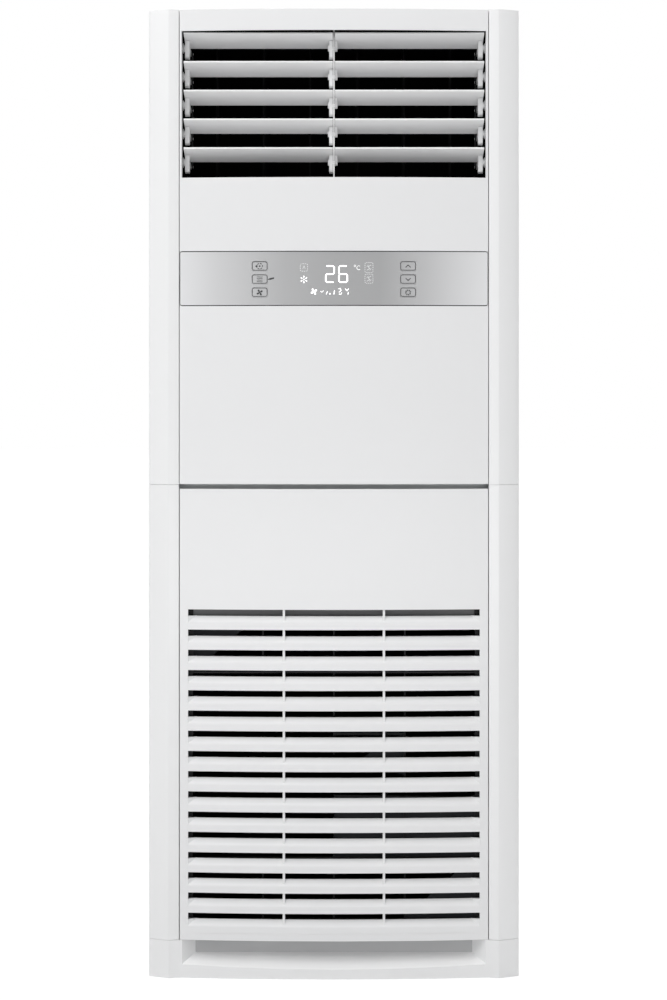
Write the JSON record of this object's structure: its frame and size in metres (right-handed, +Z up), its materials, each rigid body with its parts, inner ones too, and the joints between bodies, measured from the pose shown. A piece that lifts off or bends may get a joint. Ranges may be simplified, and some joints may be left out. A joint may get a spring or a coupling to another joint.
{
  "type": "floor standing air conditioner",
  "caption": "Tall floor standing air conditioner cabinet with corner pillars, tilting outlet louvres, a control band with display and keys, and a hinged scooped intake grille",
  "frame": {"origin": "centre of the underside of the cabinet", "axes": "+Z up, -Y out of the front, +X to the right of a person who faces the front"},
  "size_m": [0.6516, 0.39, 1.7],
  "materials": {
    "white_moulding": "satin white moulded plastic",
    "white_paint": "satin white powder paint on sheet steel",
    "silver_band": "satin silver-grey paint on plastic",
    "circuit_board": "green board with a dark lamp block",
    "louvre_moulding": "fine matt white moulded plastic",
    "dark_moulding": "matt black moulded plastic",
    "foam": "black closed-cell foam",
    "filter_mesh": "fine dark grey net",
    "zinc_sheet": "zinc coated sheet steel",
    "motor_casing": "grey painted motor casing",
    "coil_fins": "bare aluminium fins with tube ends",
    "copper_pipe": "bright copper pipe"
  },
  "bodies": {
    "cabinet": {"base_plinth": "white_moulding", "top_cover": "white_moulding", "left_pillar_lower": "white_moulding", "right_pillar_lower": "white_moulding", "left_pillar_upper": "white_moulding", "right_pillar_upper": "white_moulding", "upper_front_panel": "white_moulding", "outlet_frame": "white_moulding", "base_pan": "white_paint", "left_side_panel": "white_paint", "right_side_panel": "white_paint", "back_panel": "white_paint", "control_band": "silver_band", "display_board": "circuit_board", "drain_pan": "dark_moulding", "drain_spout": "dark_moulding", "chamber_lining": "foam", "scroll_housing": "zinc_sheet", "inlet_ring": "zinc_sheet", "motor_bracket": "zinc_sheet", "fan_deck": "zinc_sheet", "front_baffle": "zinc_sheet", "coil_end_plate_left": "zinc_sheet", "coil_end_plate_right": "zinc_sheet", "electrical_box": "zinc_sheet", "electrical_box_cover": "zinc_sheet", "swing_motor": "motor_casing", "fan_motor": "motor_casing", "evaporator_coil": "coil_fins", "gas_pipe": "copper_pipe", "liquid_pipe": "copper_pipe"},
    "left_louvre_1": {"left_louvre_1": "louvre_moulding"},
    "left_louvre_2": {"left_louvre_2": "louvre_moulding"},
    "left_louvre_3": {"left_louvre_3": "louvre_moulding"},
    "left_louvre_4": {"left_louvre_4": "louvre_moulding"},
    "left_louvre_5": {"left_louvre_5": "louvre_moulding"},
    "left_link_bar": {"left_link_bar": "louvre_moulding"},
    "right_louvre_1": {"right_louvre_1": "louvre_moulding"},
    "right_louvre_2": {"right_louvre_2": "louvre_moulding"},
    "right_louvre_3": {"right_louvre_3": "louvre_moulding"},
    "right_louvre_4": {"right_louvre_4": "louvre_moulding"},
    "right_louvre_5": {"right_louvre_5": "louvre_moulding"},
    "right_link_bar": {"right_link_bar": "louvre_moulding"},
    "vane_1": {"vane_1": "dark_moulding"},
    "vane_2": {"vane_2": "dark_moulding"},
    "vane_3": {"vane_3": "dark_moulding"},
    "vane_4": {"vane_4": "dark_moulding"},
    "vane_5": {"vane_5": "dark_moulding"},
    "vane_6": {"vane_6": "dark_moulding"},
    "vane_link_bar": {"vane_link_bar": "dark_moulding"},
    "fan_wheel": {"fan_wheel": "dark_moulding"},
    "intake_panel": {"intake_panel": "white_moulding"},
    "filter": {"filter_frame": "dark_moulding", "filter_net": "filter_mesh"},
    "mode_key": {"mode_key": "silver_band"},
    "swing_key": {"swing_key": "silver_band"},
    "fan_key": {"fan_key": "silver_band"},
    "up_key": {"up_key": "silver_band"},
    "down_key": {"down_key": "silver_band"},
    "timer_key": {"timer_key": "silver_band"}
  },
  "joints": [
    {"name": "left_louvre_1_tilt", "type": "hinge", "parent": "cabinet", "child": "left_louvre_1", "pos_m": [-0.135, -0.155, 1.6379], "axis": [1, 0, 0], "range_deg": [-12, 80]},
    {"name": "left_louvre_2_tilt", "type": "hinge", "parent": "cabinet", "child": "left_louvre_2", "pos_m": [-0.135, -0.155, 1.5873], "axis": [1, 0, 0], "range_deg": [-12, 80]},
    {"name": "left_louvre_3_tilt", "type": "hinge", "parent": "cabinet", "child": "left_louvre_3", "pos_m": [-0.135, -0.155, 1.5367], "axis": [1, 0, 0], "range_deg": [-12, 80]},
    {"name": "left_louvre_4_tilt", "type": "hinge", "parent": "cabinet", "child": "left_louvre_4", "pos_m": [-0.135, -0.155, 1.4861], "axis": [1, 0, 0], "range_deg": [-12, 80]},
    {"name": "left_louvre_5_tilt", "type": "hinge", "parent": "cabinet", "child": "left_louvre_5", "pos_m": [-0.135, -0.155, 1.4355], "axis": [1, 0, 0], "range_deg": [-12, 80]},
    {"name": "left_link_bar_turn", "type": "hinge", "parent": "left_louvre_1", "child": "left_link_bar", "pos_m": [-0.2536, -0.124, 1.6339], "axis": [1, 0, 0], "range_deg": [-80, 12]},
    {"name": "right_louvre_1_tilt", "type": "hinge", "parent": "cabinet", "child": "right_louvre_1", "pos_m": [0.135, -0.155, 1.6379], "axis": [1, 0, 0], "range_deg": [-12, 80]},
    {"name": "right_louvre_2_tilt", "type": "hinge", "parent": "cabinet", "child": "right_louvre_2", "pos_m": [0.135, -0.155, 1.5873], "axis": [1, 0, 0], "range_deg": [-12, 80]},
    {"name": "right_louvre_3_tilt", "type": "hinge", "parent": "cabinet", "child": "right_louvre_3", "pos_m": [0.135, -0.155, 1.5367], "axis": [1, 0, 0], "range_deg": [-12, 80]},
    {"name": "right_louvre_4_tilt", "type": "hinge", "parent": "cabinet", "child": "right_louvre_4", "pos_m": [0.135, -0.155, 1.4861], "axis": [1, 0, 0], "range_deg": [-12, 80]},
    {"name": "right_louvre_5_tilt", "type": "hinge", "parent": "cabinet", "child": "right_louvre_5", "pos_m": [0.135, -0.155, 1.4355], "axis": [1, 0, 0], "range_deg": [-12, 80]},
    {"name": "right_link_bar_turn", "type": "hinge", "parent": "right_louvre_1", "child": "right_link_bar", "pos_m": [0.2536, -0.124, 1.6339], "axis": [1, 0, 0], "range_deg": [-80, 12]},
    {"name": "vane_1_swing", "type": "hinge", "parent": "cabinet", "child": "vane_1", "pos_m": [-0.21, -0.0986, 1.5412], "axis": [0, 0, 1], "range_deg": [-35, 35]},
    {"name": "vane_2_swing", "type": "hinge", "parent": "cabinet", "child": "vane_2", "pos_m": [-0.126, -0.0986, 1.5412], "axis": [0, 0, 1], "range_deg": [-35, 35]},
    {"name": "vane_3_swing", "type": "hinge", "parent": "cabinet", "child": "vane_3", "pos_m": [-0.042, -0.0986, 1.5412], "axis": [0, 0, 1], "range_deg": [-35, 35]},
    {"name": "vane_4_swing", "type": "hinge", "parent": "cabinet", "child": "vane_4", "pos_m": [0.042, -0.0986, 1.5412], "axis": [0, 0, 1], "range_deg": [-35, 35]},
    {"name": "vane_5_swing", "type": "hinge", "parent": "cabinet", "child": "vane_5", "pos_m": [0.126, -0.0986, 1.5412], "axis": [0, 0, 1], "range_deg": [-35, 35]},
    {"name": "vane_6_swing", "type": "hinge", "parent": "cabinet", "child": "vane_6", "pos_m": [0.21, -0.0986, 1.5412], "axis": [0, 0, 1], "range_deg": [-35, 35]},
    {"name": "vane_link_bar_turn", "type": "hinge", "parent": "vane_1", "child": "vane_link_bar", "pos_m": [-0.21, -0.0826, 1.40995], "axis": [0, 0, 1], "range_deg": [-35, 35]},
    {"name": "fan_wheel_spin", "type": "hinge", "parent": "cabinet", "child": "fan_wheel", "pos_m": [-0.015, 0.028, 0.352], "axis": [0, 1, 0], "continuous": true},
    {"name": "intake_panel_swing", "type": "hinge", "parent": "cabinet", "child": "intake_panel", "pos_m": [0, -0.183, 0.076], "axis": [1, 0, 0], "range_deg": [0, 28]},
    {"name": "filter_slide", "type": "slide", "parent": "intake_panel", "child": "filter", "axis": [0, 0, 1], "range_m": [0, 0.15]},
    {"name": "mode_key_press", "type": "slide", "parent": "cabinet", "child": "mode_key", "axis": [0.0352, 0.9994, 0], "range_m": [0, 0.0008], "stiffness_N_per_m": 800, "springref_m": -0.0006},
    {"name": "swing_key_press", "type": "slide", "parent": "cabinet", "child": "swing_key", "axis": [0.0352, 0.9994, 0], "range_m": [0, 0.0008], "stiffness_N_per_m": 800, "springref_m": -0.0006},
    {"name": "fan_key_press", "type": "slide", "parent": "cabinet", "child": "fan_key", "axis": [0.0352, 0.9994, 0], "range_m": [0, 0.0008], "stiffness_N_per_m": 800, "springref_m": -0.0006},
    {"name": "up_key_press", "type": "slide", "parent": "cabinet", "child": "up_key", "axis": [-0.0352, 0.9994, 0], "range_m": [0, 0.0008], "stiffness_N_per_m": 800, "springref_m": -0.0006},
    {"name": "down_key_press", "type": "slide", "parent": "cabinet", "child": "down_key", "axis": [-0.0352, 0.9994, 0], "range_m": [0, 0.0008], "stiffness_N_per_m": 800, "springref_m": -0.0006},
    {"name": "timer_key_press", "type": "slide", "parent": "cabinet", "child": "timer_key", "axis": [-0.0352, 0.9994, 0], "range_m": [0, 0.0008], "stiffness_N_per_m": 800, "springref_m": -0.0006}
  ],
  "couplings": [
    {"joint": "left_louvre_2_tilt", "follows": "left_louvre_1_tilt", "ratio": 1},
    {"joint": "left_louvre_3_tilt", "follows": "left_louvre_1_tilt", "ratio": 1},
    {"joint": "left_louvre_4_tilt", "follows": "left_louvre_1_tilt", "ratio": 1},
    {"joint": "left_louvre_5_tilt", "follows": "left_louvre_1_tilt", "ratio": 1},
    {"joint": "left_link_bar_turn", "follows": "left_louvre_1_tilt", "ratio": -1},
    {"joint": "right_louvre_2_tilt", "follows": "right_louvre_1_tilt", "ratio": 1},
    {"joint": "right_louvre_3_tilt", "follows": "right_louvre_1_tilt", "ratio": 1},
    {"joint": "right_louvre_4_tilt", "follows": "right_louvre_1_tilt", "ratio": 1},
    {"joint": "right_louvre_5_tilt", "follows": "right_louvre_1_tilt", "ratio": 1},
    {"joint": "right_link_bar_turn", "follows": "right_louvre_1_tilt", "ratio": -1},
    {"joint": "vane_2_swing", "follows": "vane_1_swing", "ratio": 1},
    {"joint": "vane_3_swing", "follows": "vane_1_swing", "ratio": 1},
    {"joint": "vane_4_swing", "follows": "vane_1_swing", "ratio": 1},
    {"joint": "vane_5_swing", "follows": "vane_1_swing", "ratio": 1},
    {"joint": "vane_6_swing", "follows": "vane_1_swing", "ratio": 1},
    {"joint": "vane_link_bar_turn", "follows": "vane_1_swing", "ratio": -1}
  ]
}
